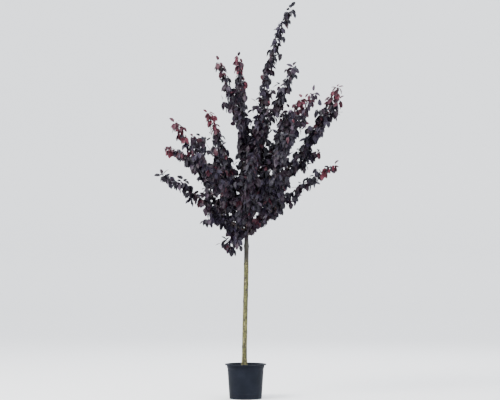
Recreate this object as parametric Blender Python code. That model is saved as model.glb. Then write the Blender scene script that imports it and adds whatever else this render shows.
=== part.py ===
"""A purple-leaved cherry plum on a clear stem, growing in a round nursery pot.

Metres, +Z up. The origin is the middle of the pot's flat underside. +X is the side that the leader leans to, and -Y
is the front. The pot, the root ball, the trunk, each bough and each mass of foliage is one closed solid.
"""

import itertools
import math
import random
from collections import namedtuple

import bmesh
import bpy
import numpy as np
from mathutils import Quaternion, Vector
from mathutils.bvhtree import BVHTree

# Gap between two solids that touch
SEAT_GAP = 0.0003

# Pot
POT_HEIGHT = 0.313
POT_FOOT_RADIUS = 0.1475
POT_FOOT_CHAMFER = 0.004
POT_SHOULDER_HEIGHT = 0.272
POT_SHOULDER_RADIUS = 0.1665
POT_STEP = 0.004
POT_COLLAR_RADIUS = 0.174
POT_RIM_RADIUS = 0.190
POT_RIM_CHAMFER = 0.0015
POT_LIP_DROP = 0.010
POT_WALL = 0.003
POT_SIDES = 32
DRAIN_HOLES = 8
DRAIN_RADIUS = 0.009
DRAIN_CIRCLE_RADIUS = 0.112
DRAIN_SIDES = 10

# Root ball
SOIL_BELOW_RIM = 0.028
SOIL_LEVEL = POT_HEIGHT - SOIL_BELOW_RIM

# Trunk: it leans a little to the right, and bulges where the crown was grafted on
TRUNK_FOOT_Z = SOIL_LEVEL + SEAT_GAP
TRUNK_TOP_Z = 1.86
TRUNK_FOOT_X = -0.011
TRUNK_GRAFT_X = 0.007
TRUNK_TOP_X = 0.004
TRUNK_FOOT_RADIUS = 0.0235
TRUNK_GRAFT_RADIUS = 0.0215
TRUNK_ABOVE_GRAFT_RADIUS = 0.0180
TRUNK_TOP_RADIUS = 0.0125
ROOT_FLARE = 0.010
ROOT_FLARE_HEIGHT = 0.035
GRAFT_Z = 1.388
GRAFT_BULGE = 0.0038
GRAFT_BULGE_HEIGHT = 0.022
TRUNK_SIDES = 12
TRUNK_RING_STEP = 0.11
FLARE_RINGS = (0.35, 0.8, 1.5, 2.6)
GRAFT_RINGS = (-1.6, -0.8, 0, 0.8, 1.8)

# Shoots. Each leaves the trunk at a height, or the shoot that it forks from at a share of that shoot's length. It
# rises to its own tip, given by its azimuth in degrees from +X towards +Y, its reach from the pot's axis and its
# height, and its last stretch has a slope in degrees. A mass of foliage is a shoot from the trunk with its forks.
# Where a share of the shoot is bough, that much of its foot is a bare limb of its own.
Shoot = namedtuple("Shoot", "leaves at azimuth reach top slope bough", defaults=(0.0,))
SHOOTS = {
    "leader": Shoot("trunk", TRUNK_TOP_Z, 0, 0.42, 3.605, 58, bough=0.10),
    "leader_right": Shoot("leader", 0.26, 331, 0.49, 3.00, 72),
    "leader_back": Shoot("leader", 0.22, 50, 0.30, 2.80, 74),
    "tall_left": Shoot("trunk", 1.77, 100, 0.20, 3.00, 92, bough=0.16),
    "tall_left_outer": Shoot("tall_left", 0.50, 148, 0.30, 3.13, 62),
    "tall_left_front": Shoot("tall_left", 0.44, 256, 0.25, 3.085, 88),
    "back_right": Shoot("trunk", 1.70, 30, 0.61, 2.80, 66, bough=0.24),
    "back_right_fork": Shoot("back_right", 0.40, 48, 0.54, 2.68, 76),
    "far_back_right": Shoot("trunk", 1.62, 60, 0.71, 2.46, 62, bough=0.24),
    "front_right": Shoot("trunk", 1.74, 335, 0.68, 2.755, 62, bough=0.24),
    "front_right_fork": Shoot("front_right", 0.42, 322, 0.50, 2.60, 74),
    "near_front_right": Shoot("trunk", 1.60, 303, 0.70, 2.33, 56, bough=0.26),
    "right": Shoot("trunk", 1.64, 5, 0.86, 2.87, 70, bough=0.22),
    "right_prong": Shoot("right", 0.62, 358, 0.86, 2.73, 58),
    "right_low_fork": Shoot("right", 0.36, 15, 0.69, 2.28, 34),
    "low_right": Shoot("trunk", 1.53, 1, 0.81, 2.13, 20, bough=0.24),
    "left": Shoot("trunk", 1.62, 188, 0.65, 2.51, 62, bough=0.24),
    "left_inner": Shoot("left", 0.45, 176, 0.48, 2.40, 48),
    "left_outer": Shoot("left", 0.40, 172, 0.73, 2.30, 8),
    "low_left": Shoot("trunk", 1.52, 181, 0.765, 2.04, 22, bough=0.26),
    "steep_left": Shoot("trunk", 1.76, 209, 0.385, 2.585, 62, bough=0.24),
    "back_left": Shoot("trunk", 1.66, 138, 0.57, 2.45, 44, bough=0.26),
    "far_back_left": Shoot("back_left", 0.45, 116, 0.68, 2.38, 55),
    "front_left": Shoot("trunk", 1.68, 236, 0.69, 2.17, 46, bough=0.24),
    "front": Shoot("trunk", 1.54, 274, 0.76, 2.10, 32, bough=0.26),
    "back": Shoot("trunk", 1.56, 90, 0.78, 2.16, 38, bough=0.26),
    "lowest_left": Shoot("trunk", 1.47, 194, 0.37, 1.74, 50),
    "lowest_left_droop": Shoot("lowest_left", 0.34, 216, 0.17, 1.37, -68),
    "inner_front_left": Shoot("trunk", 1.58, 228, 0.46, 2.02, 48),
    "inner_front_right": Shoot("trunk", 1.475, 318, 0.50, 2.00, 44),
    "inner_back_right": Shoot("trunk", 1.48, 42, 0.50, 2.00, 44),
    "inner_back_left": Shoot("trunk", 1.49, 140, 0.48, 1.94, 40),
    "heart_front": Shoot("trunk", 1.80, 290, 0.28, 2.22, 62),
    "heart_right": Shoot("trunk", 1.78, 10, 0.26, 2.24, 62),
    "heart_back": Shoot("trunk", 1.81, 62, 0.28, 2.26, 62),
    "heart_left": Shoot("trunk", 1.74, 178, 0.30, 2.16, 60),
}
MASSES = [name for name, shoot in SHOOTS.items() if shoot.leaves == "trunk"]
BOUGHS = [name for name in MASSES if SHOOTS[name].bough]

# A shoot's curve: it leaves the trunk a little flatter than it goes on, and a fork first follows its parent
SHOOT_STEPS = 8
START_SLOPE_EASE = 6
START_SLOPE_LIMIT = 56
LEADER_START = (0.27, 0, 1)
FORK_FOLLOWS_PARENT = 0.45
START_HANDLE = 0.22
TIP_HANDLE = 0.30

BOUGH_FOOT_RADIUS = 0.0100
FORK_FOOT_RADIUS = 0.0046
SHOOT_TIP_RADIUS = 0.0014
SHOOT_TAPER = 0.8
BOUGH_SIDES = 6
BOUGH_RINGS = 4
LEADER_SUNK = 0.02
STEM_SIDES = 3

# Side twigs along the lower part of each shoot. A mass with a bough has leaves almost from its foot, and one that
# grows straight from the trunk starts with a bare share.
LEAFLESS_SHARE = 0.05
LEAFLESS_SHARE_AT_TRUNK = 0.18
TWIG_SPACING = 0.17
TWIG_LENGTH = 0.20
TWIG_LENGTH_SPREAD = (0.8, 1.1)
TWIG_SHORTENING = 0.55
TWIG_LEAN = 44
TWIG_RISE = 0.35
TWIG_LAST_SHARE = 0.66
TWIG_FOOT_RADIUS = 0.0027
TWIG_TIP_RADIUS = 0.0016
TWIG_TRIES = 5
TWIG_LEAFLESS_SHARE = 0.2

# Leaves, each of which stands for a spray. They droop outwards, and stand up towards a shoot's tip.
GOLDEN_ANGLE = 137.5
LEAF_LENGTH = 0.158
LEAF_WIDTH = 0.116
LEAF_THICKNESS = 0.0028
LEAF_WIDEST = 0.52
LEAF_FOLD = 0.06
LEAF_CURL = 0.10
LEAF_ROLL = 75
LEAF_FACES_OUT = 0.3
LEAF_DROP = 0.9
LEAF_DROP_SPREAD = 0.25
LEAF_AHEAD = 0.15
LEAF_AHEAD_AT_TIP = 0.95
LEAF_CLOSING = 0.75
LEAF_UPRIGHT_FROM = 0.8
LEAF_LAST_SHARE = 0.985
LEAF_SPACING_ON_SHOOT = 0.061
LEAF_SPACING_ON_TWIG = 0.078
LEAF_SHRINK_TO_TIP = 0.42
LEAF_SIZES = (1.0, 0.84, 0.7)
LEAF_TURNS = (0, 70, -70, 180)

# Room that a mass keeps from its neighbours and from the limbs
NEIGHBOUR_ROOM = 0.004
LIMB_ROOM = 0.004

# The crown's underside is a cone that opens upwards, below which only the hanging mass reaches
UNDERSIDE_Z = 1.445
UNDERSIDE_RISE = 0.60
HANGING_MASS = "lowest_left"

# The gap through the crown left of the tall shoots, an oval at the trunk's depth, for someone who looks up from here
EYE = (0.04, -10.2, 1.0)
GAP_X = -0.119
GAP_Z = 2.39
GAP_HALF_WIDTH = 0.060
GAP_HALF_HEIGHT = 0.125

BARK_GREY = (0.16, 0.15, 0.11, 1)
BARK_DARK = (0.055, 0.042, 0.040, 1)
LEAF_PURPLE = (0.040, 0.018, 0.034, 1)
POT_BLACK = (0.022, 0.026, 0.036, 1)
SOIL_BROWN = (0.045, 0.030, 0.022, 1)


def clear_scene():
    for obj in list(bpy.data.objects):
        bpy.data.objects.remove(obj)


def material(name, colour, roughness):
    made = bpy.data.materials.new(name)
    made.use_nodes = True
    shader = made.node_tree.nodes["Principled BSDF"]
    shader.inputs["Base Color"].default_value = colour
    shader.inputs["Roughness"].default_value = roughness
    shader.inputs["Metallic"].default_value = 0.0
    return made


def add_object(name, mesh, look=None):
    obj = bpy.data.objects.new(name, mesh)
    bpy.context.scene.collection.objects.link(obj)
    if look:
        mesh.materials.append(look)
    return obj


def shade_round(obj, sharp_from):
    obj.data.shade_smooth()
    obj.data.set_sharp_from_angle(angle=math.radians(sharp_from))


def finished_mesh(name, shape):
    mesh = bpy.data.meshes.new(name)
    shape.to_mesh(mesh)
    shape.free()
    return mesh


def smooth_step(value):
    value = min(max(value, 0.0), 1.0)
    return value * value * (3 - 2 * value)


# Booleans


def apply_modifiers(obj):
    bpy.context.view_layer.update()
    graph = bpy.context.evaluated_depsgraph_get()
    mesh = bpy.data.meshes.new_from_object(obj.evaluated_get(graph))
    obj.modifiers.clear()
    obj.data = mesh


def cut(obj, cutter):
    modifier = obj.modifiers.new("cut", "BOOLEAN")
    modifier.operation = "DIFFERENCE"
    modifier.object = cutter
    modifier.solver = "EXACT"
    apply_modifiers(obj)


def join(obj, meshes):
    """Unites the object with all the meshes in one Boolean."""
    group = bpy.data.collections.new(f"{obj.name}_pieces")
    bpy.context.scene.collection.children.link(group)
    for mesh in meshes:
        group.objects.link(bpy.data.objects.new(mesh.name, mesh))
    modifier = obj.modifiers.new("join", "BOOLEAN")
    modifier.operation = "UNION"
    modifier.operand_type = "COLLECTION"
    modifier.collection = group
    modifier.solver = "EXACT"
    apply_modifiers(obj)
    for piece in list(group.objects):
        bpy.data.objects.remove(piece)
    bpy.data.collections.remove(group)
    keep_main_body(obj)


def keep_main_body(obj):
    """Fills what the union sealed, and drops loose scraps: only the largest body's faces stay."""
    shape = bmesh.new()
    shape.from_mesh(obj.data)
    unseen = set(shape.verts)
    bodies = []
    while unseen:
        front = [unseen.pop()]
        body = list(front)
        while front:
            near = {edge.other_vert(vert) for vert in front for edge in vert.link_edges}
            front = list(near & unseen)
            unseen -= near
            body += front
        bodies.append(body)
    bodies.sort(key=len)
    for body in bodies[:-1]:
        bmesh.ops.delete(shape, geom=body, context="VERTS")
    shape.to_mesh(obj.data)
    shape.free()


# Shapes


def turned(name, profile, sides):
    """A closed solid turned about Z from a profile of (radius, height) points that starts and ends on the axis."""
    shape = bmesh.new()
    points = [shape.verts.new((radius, 0, height)) for radius, height in profile]
    edges = [shape.edges.new(pair) for pair in zip(points, points[1:])]
    bmesh.ops.spin(
        shape,
        geom=points + edges,
        cent=(0, 0, 0),
        axis=(0, 0, 1),
        angle=math.tau,
        steps=sides,
        use_merge=True,
    )
    bmesh.ops.remove_doubles(shape, verts=shape.verts, dist=1e-5)
    bmesh.ops.recalc_face_normals(shape, faces=shape.faces)
    return finished_mesh(name, shape)


def square_to(direction):
    """Two unit vectors square to a direction and to each other."""
    helper = Vector((0, 1, 0)) if abs(direction.y) < 0.9 else Vector((1, 0, 0))
    first = direction.cross(helper).normalized()
    return first, direction.cross(first).normalized()


def ring_headings(path):
    """Which way a limb heads at each point of its path."""
    last = len(path) - 1
    return [(path[min(i + 1, last)] - path[max(i - 1, 0)]).normalized() for i in range(len(path))]


def limb(name, path, radii, headings, sides):
    """A closed tapering limb along a path, with flat ends."""
    shape = bmesh.new()
    rings = []
    side = square_to(headings[0])[0]
    for centre, radius, heading in zip(path, radii, headings):
        side = (side - heading * side.dot(heading)).normalized()
        other = heading.cross(side)
        ring = []
        for k in range(sides):
            turn = math.tau * k / sides
            ring.append(shape.verts.new(centre + radius * (math.cos(turn) * side + math.sin(turn) * other)))
        rings.append(ring)
    for low, high in zip(rings, rings[1:]):
        for k in range(sides):
            after = (k + 1) % sides
            shape.faces.new((low[k], low[after], high[after], high[k]))
    shape.faces.new(rings[0][::-1])
    shape.faces.new(rings[-1])
    return finished_mesh(name, shape)


# Pot and root ball


def pot_wall_radius(height):
    share = height / POT_SHOULDER_HEIGHT
    return POT_FOOT_RADIUS + (POT_SHOULDER_RADIUS - POT_FOOT_RADIUS) * share


def pot_outside():
    lip_bottom = POT_HEIGHT - POT_LIP_DROP
    lip_inner_radius = POT_RIM_RADIUS - POT_WALL
    return [
        (0, 0),
        (POT_FOOT_RADIUS - POT_FOOT_CHAMFER, 0),
        (pot_wall_radius(POT_FOOT_CHAMFER), POT_FOOT_CHAMFER),
        (POT_SHOULDER_RADIUS, POT_SHOULDER_HEIGHT),
        (POT_SHOULDER_RADIUS + POT_STEP, POT_SHOULDER_HEIGHT + POT_STEP),
        (POT_COLLAR_RADIUS, POT_HEIGHT - POT_WALL),
        (lip_inner_radius, POT_HEIGHT - POT_WALL),
        (lip_inner_radius, lip_bottom),
        (POT_RIM_RADIUS, lip_bottom),
        (POT_RIM_RADIUS, POT_HEIGHT - POT_RIM_CHAMFER),
        (POT_RIM_RADIUS - POT_RIM_CHAMFER, POT_HEIGHT),
    ]


def pot_inside():
    """The inner wall from the floor's middle up to the rim, which the root ball's sides follow."""
    return [
        (0, POT_WALL),
        (pot_wall_radius(POT_WALL) - POT_WALL, POT_WALL),
        (POT_SHOULDER_RADIUS - POT_WALL, POT_SHOULDER_HEIGHT),
        (POT_SHOULDER_RADIUS + POT_STEP - POT_WALL, POT_SHOULDER_HEIGHT + POT_STEP),
        (POT_COLLAR_RADIUS - POT_WALL, POT_HEIGHT),
    ]


def drain_drill():
    shape = bmesh.new()
    for k in range(DRAIN_HOLES):
        made = bmesh.ops.create_cone(
            shape,
            cap_ends=True,
            segments=DRAIN_SIDES,
            radius1=DRAIN_RADIUS,
            radius2=DRAIN_RADIUS,
            depth=4 * POT_WALL,
        )
        turn = math.tau * (k + 0.5) / DRAIN_HOLES
        place = Vector((math.cos(turn), math.sin(turn), 0)) * DRAIN_CIRCLE_RADIUS
        bmesh.ops.translate(shape, verts=made["verts"], vec=place)
    return finished_mesh("drain_drill", shape)


def make_pot(look):
    profile = pot_outside() + pot_inside()[::-1]
    pot = add_object("pot", turned("pot", profile, POT_SIDES), look)
    drill = add_object("drain_drill", drain_drill())
    cut(pot, drill)
    bpy.data.objects.remove(drill)
    shade_round(pot, 35)


def make_root_ball(look):
    """It fills the pot to a little under its rim."""
    middle, foot, shoulder, step, rim = pot_inside()
    rise = (SOIL_LEVEL - step[1]) / (rim[1] - step[1])
    top_radius = step[0] + (rim[0] - step[0]) * rise
    profile = [
        (0, middle[1] + SEAT_GAP),
        (foot[0] - SEAT_GAP, foot[1] + SEAT_GAP),
        (shoulder[0] - SEAT_GAP, shoulder[1]),
        (step[0] - SEAT_GAP, step[1]),
        (top_radius - SEAT_GAP, SOIL_LEVEL),
        (0, SOIL_LEVEL),
    ]
    root_ball = add_object("root_ball", turned("root_ball", profile, POT_SIDES), look)
    shade_round(root_ball, 40)


# Trunk


def trunk_centre(height):
    up = (height - TRUNK_FOOT_Z) / (GRAFT_Z - TRUNK_FOOT_Z)
    on = (height - GRAFT_Z) / (TRUNK_TOP_Z - GRAFT_Z)
    x = TRUNK_FOOT_X + (TRUNK_GRAFT_X - TRUNK_FOOT_X) * smooth_step(up)
    x += (TRUNK_TOP_X - TRUNK_GRAFT_X) * smooth_step(on)
    return Vector((x, 0, height))


def trunk_radius(height):
    above_graft = height - GRAFT_Z
    if above_graft < 0:
        up = (height - TRUNK_FOOT_Z) / (GRAFT_Z - TRUNK_FOOT_Z)
        radius = TRUNK_FOOT_RADIUS + (TRUNK_GRAFT_RADIUS - TRUNK_FOOT_RADIUS) * up
    else:
        on = above_graft / (TRUNK_TOP_Z - GRAFT_Z)
        radius = TRUNK_ABOVE_GRAFT_RADIUS + (TRUNK_TOP_RADIUS - TRUNK_ABOVE_GRAFT_RADIUS) * on
        step = TRUNK_GRAFT_RADIUS - TRUNK_ABOVE_GRAFT_RADIUS
        radius += step * math.exp(-above_graft / GRAFT_BULGE_HEIGHT)
    flare = ROOT_FLARE * math.exp(-(height - TRUNK_FOOT_Z) / ROOT_FLARE_HEIGHT)
    bulge = GRAFT_BULGE * math.exp(-((above_graft / GRAFT_BULGE_HEIGHT) ** 2))
    return radius + flare + bulge


def trunk_heights():
    """Ring heights: even along the stem, closer over the root flare and the graft."""
    heights = {TRUNK_FOOT_Z, TRUNK_TOP_Z}
    heights |= {TRUNK_FOOT_Z + ROOT_FLARE_HEIGHT * part for part in FLARE_RINGS}
    heights |= {GRAFT_Z + GRAFT_BULGE_HEIGHT * part for part in GRAFT_RINGS}
    count = round((TRUNK_TOP_Z - TRUNK_FOOT_Z) / TRUNK_RING_STEP)
    for k in range(1, count):
        height = TRUNK_FOOT_Z + (TRUNK_TOP_Z - TRUNK_FOOT_Z) * k / count
        if min(abs(height - other) for other in heights) > TRUNK_RING_STEP / 3:
            heights.add(height)
    return sorted(heights)


def trunk_mesh(name, larger_by=0.0):
    """The trunk, or a larger one that cuts a seat into the foot of each limb that grows from it."""
    heights = trunk_heights()
    path = [trunk_centre(height) for height in heights]
    radii = [trunk_radius(height) + larger_by for height in heights]
    path[-1].z += larger_by
    upright = [Vector((0, 0, 1))] * len(path)
    return limb(name, path, radii, upright, TRUNK_SIDES)


# Shoots


def slope_vector(azimuth, slope):
    a, s = math.radians(azimuth), math.radians(slope)
    return Vector((math.cos(a) * math.cos(s), math.sin(a) * math.cos(s), math.sin(s)))


def bezier(a, b, c, d, t):
    return a * (1 - t) ** 3 + b * 3 * t * (1 - t) ** 2 + c * 3 * t * t * (1 - t) + d * t**3


def along(line, share):
    """The point at a share of a line, which is a list of points at even shares of a curve."""
    place = min(max(share, 0.0), 1.0) * (len(line) - 1)
    k = min(int(place), len(line) - 2)
    return line[k].lerp(line[k + 1], place - k)


def heading_at(line, share):
    return (along(line, share + 0.02) - along(line, share - 0.02)).normalized()


def line_length(line):
    return sum((b - a).length for a, b in zip(line, line[1:]))


def shoot_tip(shoot):
    a = math.radians(shoot.azimuth)
    return Vector((shoot.reach * math.cos(a), shoot.reach * math.sin(a), shoot.top))


def start_direction(name, chord, lines):
    """Which way a shoot leaves the trunk, or the shoot that it forks from."""
    shoot = SHOOTS[name]
    if name == "leader":
        return Vector(LEADER_START).normalized()
    if shoot.leaves == "trunk":
        azimuth = math.degrees(math.atan2(chord.y, chord.x))
        slope = math.degrees(math.asin(chord.z / chord.length))
        return slope_vector(azimuth, min(slope - START_SLOPE_EASE, START_SLOPE_LIMIT))
    parent = heading_at(lines[shoot.leaves], shoot.at)
    return chord.normalized().lerp(parent, FORK_FOLLOWS_PARENT).normalized()


def make_lines():
    """Each shoot's line, in the table's order."""
    lines = {}
    for name, shoot in SHOOTS.items():
        foot = trunk_centre(shoot.at) if shoot.leaves == "trunk" else along(lines[shoot.leaves], shoot.at)
        tip = shoot_tip(shoot)
        chord = tip - foot
        start = start_direction(name, chord, lines)
        end = slope_vector(math.degrees(math.atan2(chord.y, chord.x)), shoot.slope)
        after_foot = foot + start * chord.length * START_HANDLE
        before_tip = tip - end * chord.length * TIP_HANDLE
        shares = [k / SHOOT_STEPS for k in range(SHOOT_STEPS + 1)]
        lines[name] = [bezier(foot, after_foot, before_tip, tip, share) for share in shares]
    return lines


def stretch_shares(first):
    """The share of a line where a stretch starts, and those of the line's own points after it."""
    own = [k / SHOOT_STEPS for k in range(SHOOT_STEPS + 1)]
    return [first] + [share for share in own if share > first + 0.02]


def stretch(line, first):
    return [along(line, share) for share in stretch_shares(first)]


def shoot_radius(name, share):
    foot = BOUGH_FOOT_RADIUS if SHOOTS[name].bough else FORK_FOOT_RADIUS
    return foot + (SHOOT_TIP_RADIUS - foot) * share**SHOOT_TAPER


def stem_mesh(name, line, first):
    """A shoot from a share of its length to its tip, its foot 0.3 mm clear of the bough that it goes on from."""
    path = stretch(line, first)
    headings = ring_headings(path)
    headings[0] = heading_at(line, first)
    path[0] = path[0] + headings[0] * SEAT_GAP
    radii = [shoot_radius(name, share) for share in stretch_shares(first)]
    return limb("stem", path, radii, headings, STEM_SIDES)


def mass_of(name):
    """The shoot from the trunk that a shoot belongs to."""
    while SHOOTS[name].leaves != "trunk":
        name = SHOOTS[name].leaves
    return name


def make_bough(name, line, seat, look):
    """The bare foot of a shoot, seated on the trunk."""
    share = SHOOTS[name].bough
    shares = [share * k / (BOUGH_RINGS - 1) for k in range(BOUGH_RINGS)]
    path = [along(line, part) for part in shares]
    if name == "leader":
        path[0] = path[0] - Vector((0, 0, LEADER_SUNK))
    headings = ring_headings(path)
    headings[-1] = heading_at(line, share)
    radii = [shoot_radius(name, part) for part in shares]
    bough = add_object(f"bough_{name}", limb("bough", path, radii, headings, BOUGH_SIDES), look)
    cut(bough, seat)
    shade_round(bough, 50)


# Room


class Room:
    """Where a mass may grow: nearer to its own shoots than to any other's, and clear of the trunk and boughs."""

    def __init__(self, lines):
        starts, ends, owners = [], [], []
        for name, line in lines.items():
            points = stretch(line, SHOOTS[name].bough or LEAFLESS_SHARE)
            starts += points[:-1]
            ends += points[1:]
            owners += [MASSES.index(mass_of(name))] * (len(points) - 1)
        self.starts, self.ends, self.owners = np.array(starts), np.array(ends), np.array(owners)
        limbs = []
        heights = trunk_heights()
        for low, high in zip(heights, heights[1:]):
            limbs.append((trunk_centre(low), trunk_centre(high), trunk_radius(low)))
        for name in BOUGHS:
            shares = [SHOOTS[name].bough * k / SHOOT_STEPS for k in range(SHOOT_STEPS + 1)]
            for low, high in zip(shares, shares[1:]):
                limbs.append((along(lines[name], low), along(lines[name], high), shoot_radius(name, low)))
        self.limb_starts = np.array([start for start, _, _ in limbs])
        self.limb_ends = np.array([end for _, end, _ in limbs])
        self.limb_radii = np.array([radius for _, _, radius in limbs])

    @staticmethod
    def distances(points, starts, ends):
        """From each point to each segment."""
        span = ends - starts
        offset = points[:, None] - starts[None]
        share = (offset * span).sum(2) / (span * span).sum(1)
        nearest = starts + np.clip(share, 0, 1)[..., None] * span
        return np.linalg.norm(points[:, None] - nearest, axis=2)

    @staticmethod
    def hides_gap(points):
        """Whether a point stands in the way of the gap, seen from the eye's place."""
        eye = np.array(EYE)
        at_trunk = eye + (points - eye) * EYE[1] / (EYE[1] - points[:, 1:2])
        beside = (at_trunk[:, 0] - GAP_X) / GAP_HALF_WIDTH
        above = (at_trunk[:, 2] - GAP_Z) / GAP_HALF_HEIGHT
        return bool((np.hypot(beside, above) < 1).any())

    @staticmethod
    def hangs_below(mass, points):
        underside = UNDERSIDE_Z + UNDERSIDE_RISE * np.hypot(points[:, 0], points[:, 1])
        return mass != HANGING_MASS and bool((points[:, 2] < underside).any())

    def holds(self, mass, points):
        points = np.array(points)
        if self.hides_gap(points) or self.hangs_below(mass, points):
            return False
        clear = self.distances(points, self.limb_starts, self.limb_ends) - self.limb_radii
        if clear.min() < LIMB_ROOM:
            return False
        near = self.distances(points, self.starts, self.ends)
        own = self.owners == MASSES.index(mass)
        return bool((near[:, own].min(1) + NEIGHBOUR_ROOM < near[:, ~own].min(1)).all())


# Leaves


class Leaf:
    """A flattened eight-sided blade, folded up along its middle and curled down at its tip."""

    def __init__(self, root, direction, face, size):
        length = LEAF_LENGTH * size
        wing = direction.cross(face).normalized() * LEAF_WIDTH * size / 2
        middle = root + direction * length * LEAF_WIDEST
        self.root = root
        self.tip = root + direction * length - face * length * LEAF_CURL
        self.left = middle - wing + face * length * LEAF_FOLD
        self.right = middle + wing + face * length * LEAF_FOLD
        self.upper = middle + face * LEAF_THICKNESS / 2
        self.lower = middle - face * LEAF_THICKNESS / 2

    def mesh(self):
        corners = [self.root, self.left, self.tip, self.right, self.upper, self.lower]
        upper, lower = 4, 5
        faces = []
        for a in range(4):
            b = (a + 1) % 4
            faces += [(b, a, upper), (a, b, lower)]
        mesh = bpy.data.meshes.new("leaf")
        mesh.from_pydata(corners, [], faces)
        return mesh

    def blade(self):
        """The four quarters of its face, to test whether two leaves cross."""
        corners = [self.root, self.left, self.tip, self.right, self.upper]
        return BVHTree.FromPolygons(corners, [(a, (a + 1) % 4, 4) for a in range(4)])

    def samples(self):
        """Points spread over it, but for the root, which stands in its twig."""
        across = (self.left, self.upper, self.right)
        found = [self.tip]
        for share in (0.3, 0.55, 0.8, 1.0):
            found += [self.root.lerp(corner, share) for corner in across]
        for share in (0.3, 0.6):
            found += [corner.lerp(self.tip, share) for corner in across]
        return found


def leaf_frame(line, share, turn, chance):
    """Which way a leaf on a line points and faces."""
    heading = heading_at(line, share)
    first, second = square_to(heading)
    out = first * math.cos(math.radians(turn)) + second * math.sin(math.radians(turn))
    upright = smooth_step((share - LEAF_UPRIGHT_FROM) / (1 - LEAF_UPRIGHT_FROM))
    ahead = LEAF_AHEAD + (LEAF_AHEAD_AT_TIP - LEAF_AHEAD) * upright
    drop = (LEAF_DROP + chance.uniform(-LEAF_DROP_SPREAD, LEAF_DROP_SPREAD)) * (1 - upright)
    direction = (out * (1 - LEAF_CLOSING * upright) + heading * ahead - Vector((0, 0, drop))).normalized()
    face = Vector((0, 0, 1)) + out * LEAF_FACES_OUT
    face = (face - direction * face.dot(direction)).normalized()
    roll = Quaternion(direction, math.radians(chance.uniform(-LEAF_ROLL, LEAF_ROLL)))
    return direction, roll @ face


# Foliage


class Mass:
    """What one mass of foliage is joined from, as it grows."""

    def __init__(self, name, lines, room):
        self.name = name
        self.lines = lines
        self.room = room
        self.chance = random.Random(name)
        self.meshes = []
        self.blades = []

    def add_leaf(self, line, share, turn):
        """The first of a few sizes and turns for which there is room, if any."""
        root = along(line, share)
        for size, extra in itertools.product(LEAF_SIZES, LEAF_TURNS):
            direction, face = leaf_frame(line, share, turn + extra, self.chance)
            leaf = Leaf(root, direction, face, size * (1 - LEAF_SHRINK_TO_TIP * share))
            blade = leaf.blade()
            if any(blade.overlap(other) for other in self.blades):
                continue
            if self.room.holds(self.name, leaf.samples()):
                self.meshes.append(leaf.mesh())
                self.blades.append(blade)
                return

    def add_leaves(self, line, spacing, first):
        """Leaves at even steps along a line, turning by the golden angle."""
        count = max(1, round(line_length(line) * (1 - first) / spacing))
        turn = self.chance.uniform(0, 360)
        for k in range(count):
            share = min(first + (1 - first) * (k + 0.9) / count, LEAF_LAST_SHARE)
            turn += GOLDEN_ANGLE
            self.add_leaf(line, share, turn)

    def twig_line(self, line, share, turn, reach):
        """A twig that leans out of a line and bends up."""
        heading = heading_at(line, share)
        first, second = square_to(heading)
        out = first * math.cos(math.radians(turn)) + second * math.sin(math.radians(turn))
        lean = math.radians(TWIG_LEAN)
        start = heading * math.cos(lean) + out * math.sin(lean)
        foot = along(line, share)
        bend = foot + start * reach / 2
        return [foot, bend, bend + (start + Vector((0, 0, TWIG_RISE))).normalized() * reach / 2]

    def add_twigs(self, name, first):
        """Side twigs with their leaves, long near the shoot's foot and short towards its tip."""
        line = self.lines[name]
        count = round(line_length(line) * (TWIG_LAST_SHARE - first) / TWIG_SPACING)
        turn = self.chance.uniform(0, 360)
        for k in range(count):
            share = first + (TWIG_LAST_SHARE - first) * (k + 0.5) / count
            reach = TWIG_LENGTH * (1 - TWIG_SHORTENING * share) * self.chance.uniform(*TWIG_LENGTH_SPREAD)
            for _ in range(TWIG_TRIES):
                turn += GOLDEN_ANGLE
                twig = self.twig_line(line, share, turn, reach)
                if self.room.holds(self.name, [along(twig, part) for part in (0.25, 0.5, 0.75, 1)]):
                    self.add_twig(name, share, twig)
                    break

    def add_twig(self, name, share, twig):
        foot_radius = min(TWIG_FOOT_RADIUS, 0.8 * shoot_radius(name, share))
        radii = [foot_radius, (foot_radius + TWIG_TIP_RADIUS) / 2, TWIG_TIP_RADIUS]
        self.meshes.append(limb("twig", twig, radii, ring_headings(twig), STEM_SIDES))
        self.add_leaves(twig, LEAF_SPACING_ON_TWIG, TWIG_LEAFLESS_SHARE)

    def add_shoot(self, name):
        """The leafy part of a shoot: of the mass's own, past its bough or its bare foot, or of a fork."""
        bough = SHOOTS[name].bough
        first = bough + LEAFLESS_SHARE
        if name == self.name and not bough:
            first = LEAFLESS_SHARE_AT_TRUNK
        self.add_twigs(name, first)
        self.add_leaves(self.lines[name], LEAF_SPACING_ON_SHOOT, first)


def make_mass(name, lines, room, seat, look):
    """One mass of foliage: the stem with its forks, twigs and leaves, joined into one solid."""
    mass = Mass(name, lines, room)
    foliage = add_object(f"foliage_{name}", stem_mesh(name, lines[name], SHOOTS[name].bough), look)
    if name not in BOUGHS:
        cut(foliage, seat)
    for shoot in SHOOTS:
        if mass_of(shoot) == name:
            mass.add_shoot(shoot)
            if shoot != name:
                mass.meshes.append(stem_mesh(shoot, lines[shoot], 0.0))
    join(foliage, mass.meshes)


def main():
    clear_scene()
    make_pot(material("pot_plastic", POT_BLACK, 0.55))
    make_root_ball(material("soil", SOIL_BROWN, 0.95))
    trunk = add_object("trunk", trunk_mesh("trunk"), material("trunk_bark", BARK_GREY, 0.85))
    shade_round(trunk, 40)
    seat = add_object("trunk_seat", trunk_mesh("trunk_seat", larger_by=SEAT_GAP))
    lines = make_lines()
    room = Room(lines)
    bough_look = material("bough_bark", BARK_DARK, 0.75)
    leaf_look = material("leaves", LEAF_PURPLE, 0.5)
    for name in BOUGHS:
        make_bough(name, lines[name], seat, bough_look)
    for name in MASSES:
        make_mass(name, lines, room, seat, leaf_look)
    bpy.data.objects.remove(seat)


main()
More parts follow.
